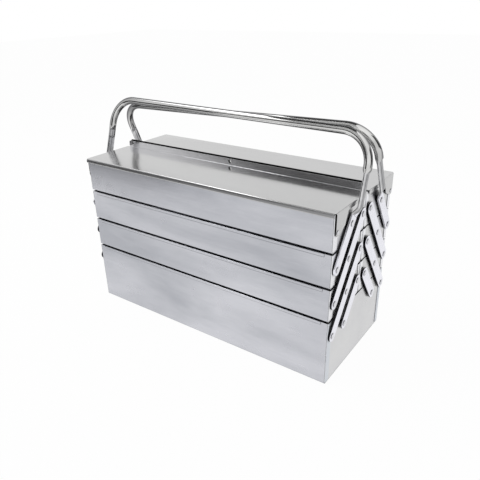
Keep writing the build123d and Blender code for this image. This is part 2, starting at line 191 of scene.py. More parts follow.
# %% Group: plating clouds
ALONG_SHEET = (0.28, 1, 1)  # clouds are longer along the sheet than across it
FINE_SHARE = 0.14  # of the fine noise laid over the slow one
CLOUD_SLOPE = 3.0  # how quickly one tone turns into the other
tree, given = new_group("plating clouds", {
    "Dark Tone": (0.4, 0.4, 0.4, 1), "Light Tone": (0.6, 0.6, 0.6, 1),
    "Clouds per Metre": 9.0, "Contrast": 1.0,
})
place = stretched_place(tree, ALONG_SHEET)
slow = noise(tree, place, given["Clouds per Metre"], detail=3, distortion=0.6)
fine = noise(tree, place, scale=70, detail=4, roughness=0.6)
both = maths(tree, "MULTIPLY_ADD", fine, FINE_SHARE, slow)
centred = maths(tree, "SUBTRACT", both, (1 + FINE_SHARE) / 2)
spread = maths(tree, "MULTIPLY", centred, given["Contrast"])
cloud = maths(tree, "MULTIPLY_ADD", spread, CLOUD_SLOPE, 0.5, clamp=True)
tone = mixed(tree, cloud, given["Dark Tone"], given["Light Tone"])
PLATING_CLOUDS = end_group(tree, {"Colour": tone, "Cloud": cloud})

# %% [markdown]
# ### Rolling lines
# Sheet comes off the mill with hair-fine lines along its length. Noise that is squeezed hard
# along one axis gives them. The same group does the lengthwise polish of the tubes and links.

# %% Group: rolling lines
HAIR_FINE = (0.012, 1, 1)  # the squeeze that turns noise into lines
tree, given = new_group("rolling lines", {"Lines per Metre": 900.0, "Coverage": 0.5})
place = stretched_place(tree, HAIR_FINE)
height = noise(tree, place, given["Lines per Metre"], detail=5, roughness=0.7)
covered = maths(tree, "MULTIPLY", ranged(tree, height, 0.32, 0.68), given["Coverage"])
ROLLING_LINES = end_group(tree, {"Line": covered, "Height": height})

# %% [markdown]
# ### Waves, finger marks and bright edges
# Thin sheet is never quite flat: slow waves bend its reflections. Finger marks are round dull
# patches. Edges are found with the Bevel node: where its rounded normal differs from the real
# one, there is an edge near. It is painted brighter: partly wear from handling, partly a painted
# highlight of the kind a rounded edge catches.

# %% Group: sheet waves
tree, given = new_group("sheet waves", {"Waves per Metre": 7.0})
place = stretched_place(tree, (0.7, 1, 1))
height = noise(tree, place, given["Waves per Metre"], detail=1, roughness=0.35)
SHEET_WAVES = end_group(tree, {"Height": height})

# %% Group: finger marks
STRAY = (0.03, 0.03, 0.03)  # how far a mark's outline strays from round
tree, given = new_group("finger marks", {"Marks per Metre": 26.0, "Amount": 0.4})
place = stretched_place(tree)
warp = noise(tree, place, scale=40, detail=2, output="Color")
strayed = {0: warp, 1: STRAY, 2: place}
strayed = add_node(tree, "VectorMath", {"operation": "MULTIPLY_ADD"}, strayed).outputs[0]
cells = add_node(tree, "TexVoronoi", inputs={"Vector": strayed, "Scale": given["Marks per Metre"]})
mark = ranged(tree, cells.outputs["Distance"], 0.34, 0.1)
some = maths(tree, "MULTIPLY", mark, given["Amount"])
FINGER_MARKS = end_group(tree, {"Mark": some})

# %% Group: edge wear and painted highlight
tree, given = new_group("edge wear and painted highlight", {"Width": 0.6 * MM, "Amount": 0.6})
rounded_normal = add_node(tree, "Bevel", {"samples": 4}, {"Radius": given["Width"]}).outputs[0]
true_normal = add_node(tree, "NewGeometry").outputs["Normal"]
normals = {0: rounded_normal, 1: true_normal}
agreement = add_node(tree, "VectorMath", {"operation": "DOT_PRODUCT"}, normals).outputs["Value"]
edge = ranged(tree, agreement, 0.99, 0.75)
patchy = noise(tree, stretched_place(tree), scale=160, detail=3)
wear_and_highlight = maths(tree, "MULTIPLY", edge, ranged(tree, patchy, 0.3, 0.6, to_low=0.35))
some = maths(tree, "MULTIPLY", wear_and_highlight, given["Amount"], clamp=True)
WEAR_AND_HIGHLIGHT_EDGES = end_group(tree, {"Edge": some})

# %% [markdown]
# ### Dark gaps
# Where two pieces nearly touch, dirt gathers and no light gets in: between the links and the
# walls, under each tray's rim and between the two grips. The Ambient Occlusion node measures how
# open a place is within a few millimetres. The group turns that into a tone to multiply with: a
# painted shade, with some dirt, that darkens the colour in the gaps.

# %% Group: painted gap shade and dirt
tree, given = new_group("painted gap shade and dirt", {"Reach": 5 * MM, "Amount": 0.9})
openness = add_node(tree, "AmbientOcclusion", {"samples": 6}, {"Distance": given["Reach"]})
shut = ranged(tree, openness.outputs["AO"], 0.92, 0.38)
some = maths(tree, "MULTIPLY", shut, given["Amount"], clamp=True)
GAP_SHADE_AND_DIRT = end_group(tree, {"Tone": maths(tree, "SUBTRACT", 1.0, some)})

# %% [markdown]
# ## Materials
# All of the box is bare metal, so every material is a Principled shader with Metallic at 1. What
# tells the pieces apart is the tone, how sharply they mirror, and how coarse the grain is. One
# function wires the groups together; each finish is a short call with its own numbers.

# %% The function that makes every metal
LINE_SHADE = (0.86, 0.86, 0.87, 1)
# the tone of the painted dark reflection along an outline seen at a flat angle
RIM_TONE = (0.03, 0.03, 0.035, 1)
FLAT_ANGLES = (0.2, 0.55)  # where the rim starts and where it is full, as Facing goes to 1


def metal(
    name, dark, light, wear_and_highlight_tone, rough, clouds, lines=(900, 0.25, 0.01), waves=(6, 0.6),
    marks=(20, 0.3), edges=(0.6, 0.4), gaps=(5, 0.9), rim=0.0,
):
    """A metal finish. rough is (polished, dull); rim darkens what is seen at a flat angle.

    The others are the values of the node groups: how many per metre and how strong, then the
    height of the lines and waves, the width of the bright edges (wear and painted highlight) and
    the reach of the painted gap shade in mm.
    """
    material = bpy.data.materials.new(name)
    material.use_nodes = True
    tree = material.node_tree

    def effect(group, *values):
        """Places a shared effect and fills its inputs in their order."""
        return add_node(tree, "Group", {"node_tree": group}, dict(enumerate(values))).outputs

    cloud = effect(PLATING_CLOUDS, (*dark, 1), (*light, 1), *clouds)
    line = effect(ROLLING_LINES, *lines[:2])
    wave = effect(SHEET_WAVES, waves[0])
    mark = effect(FINGER_MARKS, *marks)
    edge = effect(WEAR_AND_HIGHLIGHT_EDGES, edges[0] * MM, edges[1])
    # painted shade in the gaps, with some dirt: the colour is multiplied by how open each place is
    gap_shade_and_dirt = effect(GAP_SHADE_AND_DIRT, gaps[0] * MM, gaps[1])

    # Colour: the clouds, a trace darker in the rolling lines, brighter along the edges (wear and a
    # painted highlight), and nearly black in the gaps (painted shade and dirt) and at the rim (a
    # painted dark reflection).
    lined = mixed(tree, line["Line"], cloud["Colour"], LINE_SHADE, "MULTIPLY")
    # edges painted brighter: wear, and a painted highlight
    wear_and_highlight_colour = mixed(tree, edge["Edge"], lined, (*wear_and_highlight_tone, 1))
    toned = mixed(tree, 1.0, wear_and_highlight_colour, gap_shade_and_dirt["Tone"], "MULTIPLY")
    # painted dark reflection: seen at a flat angle, the colour turns towards the rim's tone
    facing = add_node(tree, "LayerWeight", inputs={"Blend": 0.5}).outputs["Facing"]
    rimmed = mixed(tree, ranged(tree, facing, *FLAT_ANGLES, to_high=rim), toned, RIM_TONE)

    # Roughness: it follows the clouds, and finger marks lie on top as duller patches.
    dull = maths(tree, "MULTIPLY_ADD", cloud["Cloud"], 0.5, mark["Mark"], clamp=True)

    # Relief: slow waves first, then the hair-fine lines.
    slow = {"Height": wave["Height"], "Distance": waves[1] * MM}
    fine = {"Height": line["Height"], "Distance": lines[2] * MM}
    fine["Normal"] = add_node(tree, "Bump", inputs=slow).outputs["Normal"]
    fill(tree.nodes["Principled BSDF"], {
        "Metallic": 1.0,
        "Base Color": rimmed,
        "Roughness": ranged(tree, dull, 0, 1, *rough),
        "Normal": add_node(tree, "Bump", inputs=fine).outputs["Normal"],
    })
    print("material:", name)
    return material


# %% [markdown]
# ### The finishes
# The pans are satin zinc with a cool cast and wide clouds. The end walls are the same sheet but
# cleaner, and the narrow flanges at the corners are the brightest of it. The lids mirror more
# sharply: the grips and the raised flange show in them, and the flange is also painted brighter as
# a highlight. Links and rivets are bright plate; a bar's sheared edge is darker steel and is
# painted nearly black as shade, so it draws a thin outline round it. The tubes are polished until
# they show streaks. Real tube mirrors the dark room along its upper and lower outline, where it is
# seen at a flat angle, and rim paints that dark reflection into the colour. Five small finishes are
# for strips
# only: the lip (a painted dark reflection), the pressed flats, sheared edges, lines of painted
# shade and gaps painted black as shade.

# %% Finishes
PAN_ZINC = metal(
    "pan zinc", (0.45, 0.46, 0.495), (0.65, 0.655, 0.695), (0.88, 0.88, 0.90), (0.20, 0.34),
    (8, 1.2), (700, 0.35, 0.02), (6, 1.2), marks=(24, 0.35), edges=(0.6, 0.5), gaps=(2.5, 0.8),
)
END_ZINC = metal(
    "end wall zinc", (0.60, 0.60, 0.61), (0.70, 0.70, 0.70), (0.9, 0.9, 0.9), (0.26, 0.38),
    (12, 0.7), (800, 0.3, 0.02), (8, 0.8), marks=(30, 0.3), edges=(0.6, 0.5), gaps=(3.5, 0.85),
)
LID_STEEL = metal(
    "lid steel", (0.49, 0.49, 0.49), (0.56, 0.56, 0.56), (0.92, 0.92, 0.92), (0.15, 0.23),
    (7, 0.6), edges=(0.7, 0.6), gaps=(2, 0.5),
)
# a brighter copy of the lid steel: painted highlight on the flange and its root
FLANGE_HIGHLIGHT = metal(
    "raised flange", (0.84, 0.84, 0.86), (0.94, 0.94, 0.96), (0.95, 0.95, 0.95), (0.12, 0.2),
    (9, 0.8), waves=(9, 0.6), marks=(30, 0.3), edges=(0.6, 0.7), gaps=(2, 0.3),
)
# a darker copy of the lid steel: the lip's painted dark reflection
LIP_DARK_REFLECTION = metal(
    "lid lip", (0.24, 0.24, 0.245), (0.40, 0.40, 0.405), (0.90, 0.90, 0.92), (0.34, 0.44),
    (3, 1.6), edges=(0.4, 0.4), gaps=(2, 0.3),
)
LINK_ZINC = metal(
    "link zinc", (0.80, 0.80, 0.86), (0.89, 0.89, 0.95), (0.95, 0.95, 0.97), (0.22, 0.36),
    (40, 0.8), (1500, 0.2, 0.01), waves=(30, 0.2), marks=(60, 0.3), edges=(0.5, 0.4),
)
TUBE_POLISH = metal(
    "polished tube", (0.46, 0.46, 0.455), (0.80, 0.80, 0.79), (0.92, 0.92, 0.92), (0.05, 0.12),
    (14, 1.2), (1200, 0.08, 0.001), waves=(16, 0.3), marks=(50, 0.35), edges=(0.6, 0.3), rim=0.9,
)
PRESSED_TUBE = metal(
    "pressed tube", (0.52, 0.52, 0.53), (0.76, 0.76, 0.77), (0.90, 0.90, 0.90), (0.12, 0.24),
    (70, 1.0), (1500, 0.3, 0.01), waves=(40, 0.4), marks=(60, 0.35), edges=(0.8, 0.8), rim=0.5,
)
CORNER_ZINC = metal(
    "corner zinc", (0.80, 0.80, 0.83), (0.90, 0.90, 0.92), (0.95, 0.95, 0.95), (0.24, 0.38),
    (30, 0.8), (900, 0.25, 0.02), waves=(20, 0.4), marks=(50, 0.3),
)
BASE_CORNER_ZINC = metal(
    "base corner zinc", (0.54, 0.57, 0.62), (0.66, 0.69, 0.73), (0.90, 0.90, 0.92), (0.24, 0.38),
    (20, 0.8), (900, 0.25, 0.02), waves=(14, 0.5), marks=(40, 0.3),
)
# a dark tone painted on thin strips, standing in for the shade under the hems and in the pressed
# legs' grooves
PAINTED_SHADE_LINE = metal(
    "painted line of shade", (0.06, 0.06, 0.07), (0.24, 0.24, 0.26), (0.5, 0.5, 0.5), (0.3, 0.45),
    (14, 1.6), (900, 0.3, 0.02), waves=(10, 0.4), marks=(40, 0.3), edges=(0.4, 0.2),
)
# sheared steel is darker; its near black is painted shade beside each bar
SHEARED_EDGE_AND_SHADE = metal(
    "sheared edge", (0.02, 0.02, 0.025), (0.06, 0.06, 0.07), (0.30, 0.30, 0.32), (0.45, 0.65),
    (90, 0.9), (1800, 0.6, 0.03), waves=(60, 0.1), marks=(90, 0.3), edges=(0.2, 0.2),
)
# near black: painted shade between the flanges and beside the cheeks
GAP_SHADE_BLACK = metal(
    "steel in the gap", (0.005, 0.005, 0.005), (0.02, 0.02, 0.02), (0.30, 0.30, 0.30), (0.35, 0.55),
    (8, 1.0), edges=(0.4, 0.3),
)
RIVET_ZINC = metal(
    "rivet zinc", (0.62, 0.62, 0.65), (0.80, 0.80, 0.83), (0.93, 0.93, 0.95), (0.2, 0.38),
    (120, 1.0), (2000, 0.2, 0.01), waves=(60, 0.1), marks=(120, 0.3), edges=(0.5, 0.6),
)
print("materials:", len(bpy.data.materials))

# %% [markdown]
# ## Shapes from outlines
# Nearly everything here is sheet or bar: a flat outline carried along one straight line. One
# function does that. It takes an outline, any holes and two stations, and it breaks the sharp
# edges a little, because real sheet never ends in a perfect corner. Modelling each piece by hand
# in Edit Mode would work too, but an outline can be read back and changed.

# %% Outlines
ARC_STEPS = 6  # straight pieces in a quarter turn
SHARPEST = 0.3  # a point of a shifted outline moves at most 1 / 0.3 times the distance


def arc(centre, radius, start, end, steps=ARC_STEPS):
    """Points on an arc of a circle, from one angle to another, in degrees."""
    angles = [math.radians(start + (end - start) * step / steps) for step in range(steps + 1)]
    return [(centre[0] + radius * math.cos(a), centre[1] + radius * math.sin(a)) for a in angles]


def circle(centre, radius, steps=24):
    """A clockwise circle, which is how a hole is drawn."""
    return arc(centre, radius, 360, 0, steps)[:-1]


def rounded(radii):
    """Straight lines from corner to corner, each corner rounded by the radius given with it."""
    corners = list(radii)
    path = []
    for index, (corner, radius) in enumerate(radii.items()):
        if not radius:
            path.append(corner)
            continue
        here = Vector(corner)
        back = (Vector(corners[index - 1]) - here).normalized()
        on = (Vector(corners[(index + 1) % len(corners)]) - here).normalized()
        half = math.acos(back.dot(on)) / 2
        centre = here + (back + on).normalized() * (radius / math.sin(half))
        first = here + back * (radius / math.tan(half)) - centre
        last = here + on * (radius / math.tan(half)) - centre
        start = math.degrees(math.atan2(first.y, first.x))
        turn = math.degrees(math.atan2(first.cross(last), first.dot(last)))
        path.extend(arc(centre, radius, start, start + turn))
    return path


def shifted(points, distance, closed=True):
    """The same outline with every side moved to its left by a distance."""
    normals = []
    for (u, v), (next_u, next_v) in zip(points, points[1:] + points[:1]):
        side = (Vector((next_u, next_v)) - Vector((u, v))).normalized()
        normals.append(Vector((-side.y, side.x)))
    moved = []
    for index, (u, v) in enumerate(points):
        before, after = normals[index - 1], normals[index]
        if not closed and index == 0:
            before = after
        if not closed and index == len(points) - 1:
            after = before
        middle = (before + after).normalized()
        reach = distance / max(SHARPEST, middle.dot(before))
        moved.append((u + middle.x * reach, v + middle.y * reach))
    return moved


def sheet_outline(path, thickness):
    """The outline of a sheet whose middle line is the path."""
    right = shifted(path, -thickness / 2, closed=False)
    left = shifted(path, thickness / 2, closed=False)
    return right + left[::-1]


print("a quarter turn is drawn in", ARC_STEPS, "pieces")

# %% Solids from outlines
EDGE_BREAK = 0.1 * MM  # how far a sharp edge is taken off
FINE_BREAK = 0.05 * MM


def along_x(u, v, w):
    """An outline drawn in Y and Z, carried along X."""
    return Vector((w, u, v))


def along_y(u, v, w):
    """An outline drawn in X and Z, carried along Y."""
    return Vector((u, w, v))


def along_z(u, v, w):
    """An outline drawn in X and Y, carried along Z."""
    return Vector((u, v, w))


def bridge(mesh, rings):
    """Skins a run of rings that have the same number of points."""
    for lower, upper in zip(rings, rings[1:]):
        for index in range(len(lower)):
            mesh.faces.new((lower[index - 1], lower[index], upper[index], upper[index - 1]))


def extruded(mesh, outline, stations, axes, edge=EDGE_BREAK, holes=()):
    """Adds a solid to the mesh: an outline carried between two stations, edges broken."""
    first, last = sorted(stations)
    signed = sum(a[0] * b[1] - b[0] * a[1] for a, b in zip(outline, outline[1:] + outline[:1]))
    loops = [outline if signed > 0 else outline[::-1]] + list(holes)
    levels = [(first, 0), (last, 0)]
    if edge:
        soft = edge * (1 - math.cos(math.radians(45)))
        levels = [(first, edge), (first + soft, soft), (first + edge, 0)]
        levels += [(last - edge, 0), (last - soft, soft), (last, edge)]
    caps = {first: [], last: []}
    for loop in loops:
        rings = []
        for station, inset in levels:
            rings.append([mesh.verts.new(axes(u, v, station)) for u, v in shifted(loop, inset)])
        bridge(mesh, rings)
        for station, ring in ((first, rings[0]), (last, rings[-1])):
            caps[station].extend(mesh.edges.get((ring[i - 1], ring[i])) for i in range(len(ring)))
    for rim in caps.values():
        bmesh.ops.triangle_fill(mesh, use_beauty=True, use_dissolve=False, edges=rim)


print("sharp edges are broken by", EDGE_BREAK / MM, "mm")

# %% From a mesh to a piece
SMOOTH_ANGLE = math.radians(32)
SIDES = {"front": -1, "rear": 1}
ENDS = {"right": 1, "left": -1}


def object_from(mesh, name, place=(0, 0, 0)):
    """Turns the mesh under construction into an object."""
    data = bpy.data.meshes.new(name)
    mesh.to_mesh(data)
    mesh.free()
    return add_object(name, data, place)


def finish_piece(mesh, name, material, body, slot, *nodes, elsewhere=()):
    """Turns the mesh under construction into a piece that rides on a body and stands for nodes.

    elsewhere holds further materials, each with the test that picks its faces: it is given a
    face and the face's middle.
    """
    bmesh.ops.recalc_face_normals(mesh, faces=mesh.faces)
    for face in mesh.faces:
        face.smooth = True
        place = face.calc_center_median()
        for index, (_, belongs) in enumerate(elsewhere, start=1):
            if belongs(face, place):
                face.material_index = index
    for edge in mesh.edges:
        edge.smooth = edge.is_manifold and edge.calc_face_angle(0) < SMOOTH_ANGLE
    piece = object_from(mesh, name)
    for metal_here in (material, *(other for other, _ in elsewhere)):
        piece.data.materials.append(metal_here)
    flat_stays_flat = piece.modifiers.new("flat stays flat", "WEIGHTED_NORMAL")
    flat_stays_flat.keep_sharp = True
    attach(piece, body)
    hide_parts(*nodes)
    return piece


print("edges sharper than", round(math.degrees(SMOOTH_ANGLE)), "degrees stay sharp")

# %% [markdown]
# ## Pans
# Every pan is one sheet folded into a trough. Its rims are folded over into a hem, outward on
# the walls that show, because a raw edge would cut hands. At the ends the walls turn round the
# corner as narrow flanges, which are spot-welded to the flat end plates. The trough and the
# corner flanges are separate solids in one mesh, just as they are separate folds of one sheet.

# %% Sizes of the sheet, read from the CAD model where it shows them
SHEET = 0.8 * MM
BEND = 1.5 * MM  # on the sheet's middle line
HEM_PROUD = 0.8 * MM
HEM_HEIGHT = 4.5 * MM
HEM_LINE = 0.8 * MM  # painted shade reaches this far below the hem
HEM_BREAK = 0.2 * MM
HEM_STEPS = 10  # straight pieces round the hem
WRAP_OUTER = 12 * MM
WRAP_INNER = 8 * MM
RELIEF = 3 * MM  # the corner is open below each flange
base_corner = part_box("base_pan")[1]
HALF_LENGTH = base_corner.x
HALF_DEPTH = base_corner.y - HEM_PROUD
BEND_START = HALF_LENGTH - BEND - SHEET / 2
PLATE_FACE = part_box("base_end_right")[1].x
HEM_END = PLATE_FACE - SHEET - WRAP_OUTER
print("the sheet walls are", round(HALF_DEPTH / MM, 1), "mm from the middle")

# %% Build the pans
def wall_top(face, inward, top, hem):
    """The upper end of a wall, from its outer side over the hem to its inner side."""
    inside = face + inward * SHEET
    if not hem:
        return [(face, top), (inside, top)]
    if hem == "inward":  # the same hem from the other side, without its painted line of shade
        return wall_top(inside, -inward, top, "outward")[:0:-1]
    roll = (SHEET + HEM_PROUD) / 2
    foot, proud = top - HEM_HEIGHT, face - inward * HEM_PROUD
    turn = (180, 0) if inward > 0 else (0, 180)
    return [
        (face, foot - HEM_LINE), (face, foot),
        (proud + inward * HEM_BREAK, foot), (proud, foot + HEM_BREAK),
        *arc((inside - inward * roll, top - roll), roll, *turn, HEM_STEPS),
    ]


def trough(near, far, bottom, top, near_hem=None, far_hem=None):
    """The outline of a folded sheet: up one wall, round its hem, down, across and up the other."""
    outer, inner = BEND + SHEET / 2, BEND - SHEET / 2
    inside = bottom + SHEET + inner
    return [
        *arc((far - outer, bottom + outer), outer, 0, -90),
        *arc((near + outer, bottom + outer), outer, -90, -180),
        *wall_top(near, 1, top, near_hem),
        *arc((near + SHEET + inner, inside), inner, 180, 270),
        *arc((far - SHEET - inner, inside), inner, 270, 360),
        *wall_top(far, -1, top, far_hem)[::-1],
    ]


def corner_flange(mesh, face, inward, wrap, bottom, top, end):
    """The wall's end, bent round the corner into a narrow flange on the end plate."""
    wall, tip = face + inward * SHEET / 2, face + inward * wrap
    past_end = end * (HALF_LENGTH - SHEET / 2)
    path = rounded({(end * BEND_START, wall): 0, (past_end, wall): BEND, (past_end, tip): 0})
    extruded(mesh, sheet_outline(path, SHEET), (bottom + RELIEF, top), along_z)


def build_pan(node, body, near, far, walls):
    """A pan from its two walls; walls gives each one's hem and the width of its corner flange."""
    low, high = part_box(node)
    bottom, top = low.z, high.z
    (near_hem, near_wrap), (far_hem, far_wrap) = walls
    mesh = bmesh.new()
    hemmed = trough(near, far, bottom, top, near_hem, far_hem)
    extruded(mesh, hemmed, (-HEM_END, HEM_END), along_x)
    plain = trough(near, far, bottom, top)
    foot = trough(near, far, bottom, bottom + RELIEF)
    for end in ENDS.values():
        extruded(mesh, plain, (end * HEM_END, end * BEND_START), along_x, 0)
        extruded(mesh, foot, (end * BEND_START, end * PLATE_FACE), along_x)
        corner_flange(mesh, near, 1, near_wrap, bottom, top, end)
        corner_flange(mesh, far, -1, far_wrap, bottom, top, end)
    flange_zinc = BASE_CORNER_ZINC if node == "base_pan" else CORNER_ZINC

    # a thin strip of wall under each outward hem is painted dark, standing in for the hem's shade
    def under_hem(face, place):
        below = top - HEM_HEIGHT - place.z
        outside = abs(face.normal.y) > 0.9 and abs(place.y) > HALF_DEPTH - SHEET / 2
        return outside and abs(place.x) < HEM_END and 0 < below < HEM_LINE

    return finish_piece(
        mesh, f"{node}_folded", PAN_ZINC, body, "pan_sheet", node,
        elsewhere=[(flange_zinc, on_corner_flange), (PAINTED_SHADE_LINE, under_hem)],
    )


def on_corner_flange(face, place):
    """True for the faces of a pan that look out past the end of the box."""
    return abs(face.normal.x) > 0.6 and abs(place.x) > PLATE_FACE


ROWS = ("lower", "middle", "top")
outer_wall, inner_wall = ("outward", WRAP_OUTER), ("inward", WRAP_INNER)
pans = [build_pan("base_pan", "base", -HALF_DEPTH, HALF_DEPTH, (outer_wall, outer_wall))]
for side in SIDES:
    for row in ROWS:
        node = f"{side}_{row}_tray_pan"
        low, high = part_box(node)
        span, walls = (-HALF_DEPTH, high.y), (outer_wall, inner_wall)
        if side == "rear":
            span, walls = (low.y, HALF_DEPTH), (inner_wall, outer_wall)
        pans.append(build_pan(node, f"{side}_{row}_tray", *span, walls))
print("pans built:", len(pans))

# %% [markdown]
# ## Lids
# Each lid is one sheet as well. Its outer edge rolls down into a lip, its inner edge turns up
# into a flange, and a narrow cheek hangs at each end and widens into the ear that the hinge
# rivet holds. Both flanges share one hole for a padlock. The roll along the front is what
# catches the light: as it turns, it mirrors the ceiling, then the dark room, then the floor.
# One sheet, but four finishes: each test below picks the faces that differ from the flat top. The
# lip's upper face is a darker copy of the lid steel, a painted dark reflection, and the flange's
# outward face and root are a brighter copy, a painted highlight. No light gets between the two
# flanges, so the faces there are painted black as shade, as in a real gap; so are the cheeks' outer
# edges and the top edge of the rear flange.

# %% Sizes of the lids
LID_LIP = 7.5 * MM
LIP_HEM = 1.4 * MM  # the lip's lower edge is folded inward this far up
ROLL_OUT = 2.2 * MM  # the outer edge rolls down slowly: this far outward
ROLL_DOWN = 5.2 * MM  # over this height
ROLL_STEPS, LIP_STEPS = 14, 8
END_ROLL = 1.2 * MM
FLANGE_HEIGHT = 14 * MM
FLANGE_ROOT = 0.8 * MM  # radius where the flange turns up
FLANGE_END_GAP = 6 * MM
FLANGE_SHORT = {"front": 1.6 * MM, "rear": 0}  # the front one was cut a little lower
FLANGE_CORNER = 4 * MM
LOCK_HOLE = 3.5 * MM
LOCK_HOLE_ABOVE = 7 * MM  # its middle, above the lid
LIP_END_GAP = 2.6 * MM  # the lip stops this far short of the cheek's outer face
CHEEK_FRONT = 110.2 * MM
CHEEK_INNER = 6 * MM
HINGE_Y = 104.6 * MM
HINGE_Z = 275 * MM
HINGE_HOLE = 2.08 * MM
EAR_FLAT = HINGE_Y - 7.5 * MM
EAR_SHOULDER = (80.5 * MM, 278.5 * MM)
EAR_TOP = 72 * MM
EAR_CORNER, SHOULDER_CORNER, CHEEK_CORNER = 5 * MM, 3 * MM, 2 * MM
print("the lid's lip is", LID_LIP / MM, "mm deep")


# %% Build the lids
def build_lid(side):
    sign = SIDES[side]
    low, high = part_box(f"{side}_lid")
    end = high.x
    outer, inner = sorted((abs(low.y), abs(high.y)))[::-1]
    top = high.z - FLANGE_HEIGHT
    middle = top - SHEET / 2
    lip_foot = top - LID_LIP
    lip_line = outer - SHEET / 2
    flange_line = inner + SHEET / 2

    def seen_from(points):
        """The outline drawn for one side, given distances from the middle plane."""
        return [(sign * out, z) for out, z in points]

    roll = [(lip_line, lip_foot + LIP_HEM)]
    for out, up in arc((0, 0), 1.0, 0, 90, ROLL_STEPS):
        roll.append((lip_line - ROLL_OUT * (1 - out), middle - ROLL_DOWN * (1 - up)))
    root = arc((flange_line + FLANGE_ROOT, middle + FLANGE_ROOT), FLANGE_ROOT, 270, 180)
    hem = arc((outer - SHEET, lip_foot + SHEET), SHEET, 360, 180, LIP_STEPS)
    hem = [(outer, lip_foot + LIP_HEM), *hem, (outer - 2 * SHEET, lip_foot + LIP_HEM)]
    mesh = bmesh.new()
    lip_end = end - LIP_END_GAP
    flange_end = end - FLANGE_END_GAP
    roll_start = end - SHEET / 2 - END_ROLL
    across = seen_from(sheet_outline(roll + root, SHEET))
    extruded(mesh, across, (-flange_end, flange_end), along_x, 0)
    extruded(mesh, seen_from(hem), (-lip_end, lip_end), along_x)
    roll.append((flange_line + FLANGE_ROOT, middle))
    across = seen_from(sheet_outline(roll, SHEET))
    brow, inner_end = outer - ROLL_OUT - SHEET, flange_line + SHEET
    under = top - SHEET
    flat = seen_from([(brow, under), (brow, top), (inner_end, top), (inner_end, under)])
    cheek_top = middle - END_ROLL
    corners = {
        (CHEEK_FRONT, cheek_top): 0,
        (CHEEK_FRONT, low.z): EAR_CORNER,
        (EAR_FLAT, low.z): EAR_CORNER,
        EAR_SHOULDER: CHEEK_CORNER,
        (EAR_TOP, lip_foot): SHOULDER_CORNER,
        (CHEEK_INNER, lip_foot): CHEEK_CORNER,
        (CHEEK_INNER, cheek_top): 0,
    }
    cheek = seen_from(rounded(corners))
    hinge = circle((sign * HINGE_Y, HINGE_Z), HINGE_HOLE)
    for way in ENDS.values():
        extruded(mesh, across, (way * flange_end, way * lip_end), along_x, 0)
        extruded(mesh, flat, (way * lip_end, way * roll_start), along_x, 0)
        bend = arc((way * roll_start, cheek_top), END_ROLL, 90, 0 if way > 0 else 180)
        span = (sign * CHEEK_INNER, sign * CHEEK_FRONT)
        extruded(mesh, sheet_outline(bend, SHEET), span, along_y, FINE_BREAK)
        plate = (way * end, way * (end - SHEET))
        extruded(mesh, cheek, plate, along_x, FINE_BREAK, [hinge])
    corners = {(x, middle + FLANGE_ROOT): 0 for x in (-flange_end, flange_end)}
    for x in (flange_end, -flange_end):
        corners[x, high.z - FLANGE_SHORT[side]] = FLANGE_CORNER
    flange = rounded(corners)
    lock = circle((0, top + LOCK_HOLE_ABOVE), LOCK_HOLE, 40)
    span = (sign * inner, sign * (inner + SHEET))
    extruded(mesh, flange, span, along_y, FINE_BREAK, [lock])

    # faces between the two flanges, and the rear flange's top edge, are painted black as shade
    def faces_other_flange(face, place):
        rear_edge = side == "rear" and place.z > high.z - 0.3 * MM
        return place.z > top + FLANGE_ROOT and (rear_edge or face.normal.y * sign < -0.9)

    # the flange's outward face and root get the painted highlight
    def faces_outward(face, place):
        near_flange = abs(place.y) < inner + SHEET + FLANGE_ROOT
        return place.z > top and near_flange and face.normal.y * sign > 0.1

    # the lip's upper face gets the painted dark reflection
    def on_lip(face, place):
        return (
            face.normal.y * sign > 0.75 and abs(place.y) > outer - ROLL_OUT
            and abs(place.x) < lip_end and place.z > lip_foot + LIP_HEM * 0.9
        )

    # a cheek's outer edge is painted black as the shade in the slot beside it
    def on_cheek_edge(face, place):
        on_cheek = abs(place.x) > end - SHEET - 0.1 * MM and place.z < top - END_ROLL
        return on_cheek and face.normal.y * sign > 0.5

    return finish_piece(
        mesh, f"{side}_lid_folded", LID_STEEL, f"{side}_lid", "lid_sheet", f"{side}_lid",
        elsewhere=[
            (GAP_SHADE_BLACK, faces_other_flange),
            (GAP_SHADE_BLACK, on_cheek_edge),
            (FLANGE_HIGHLIGHT, faces_outward),
            (LIP_DARK_REFLECTION, on_lip),
        ],
    )


for side in SIDES:
    lid = build_lid(side)
    print(lid.name, len(lid.data.polygons), "faces")

# %% [markdown]
# ## Links
# The links are flat bars with round ends, punched for their rivets. Two stand on the base and
# one on the lower tray, on each side of each end. A bar's ends are read from the CAD node's box:
# half a bar's width in from each corner is a pivot. The shear leaves a rough, darker edge all
# round, and that edge is painted nearly black as the shade beside the bar.

# %% Build the links
LINK_WIDTH = 20 * MM
RIVET_HOLE = 2.58 * MM
PASSING_HOLE = 2.8 * MM  # where a long bar only passes over a rivet
BAR_EDGE = 0.25 * MM
BAR_STEPS = 20  # straight pieces round a bar's end


def bar_outline(first, last, width):
    """A bar with round ends round two pivots."""
    along = (Vector(last) - Vector(first)).normalized()
    turn = math.degrees(math.atan2(along.y, along.x))
    over_last = arc(last, width / 2, turn - 90, turn + 90, BAR_STEPS)
    return over_last + arc(first, width / 2, turn + 90, turn + 270, BAR_STEPS)


